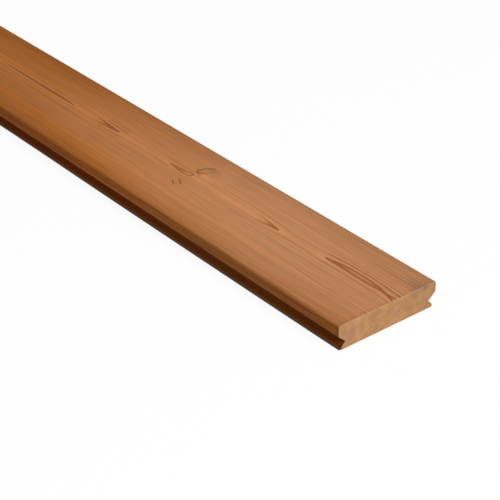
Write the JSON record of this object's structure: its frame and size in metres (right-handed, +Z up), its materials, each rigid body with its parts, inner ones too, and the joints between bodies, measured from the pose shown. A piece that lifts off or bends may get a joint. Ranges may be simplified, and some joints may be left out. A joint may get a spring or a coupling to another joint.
{
  "type": "heat-treated decking board",
  "caption": "Long, flat decking board of heat-treated pine with rounded top edges and a V-shaped clip groove with a set-back lip along both sides.",
  "frame": {"origin": "middle of the underside", "axes": "+X along the board's length, towards the sawn end that the picture shows; +Y across its width; +Z up, out of the top face"},
  "size_m": [2.1, 0.115, 0.026],
  "materials": {
    "heat_treated_pine": "matte"
  },
  "bodies": {
    "root": {"decking_board": "heat_treated_pine"}
  },
  "joints": []
}
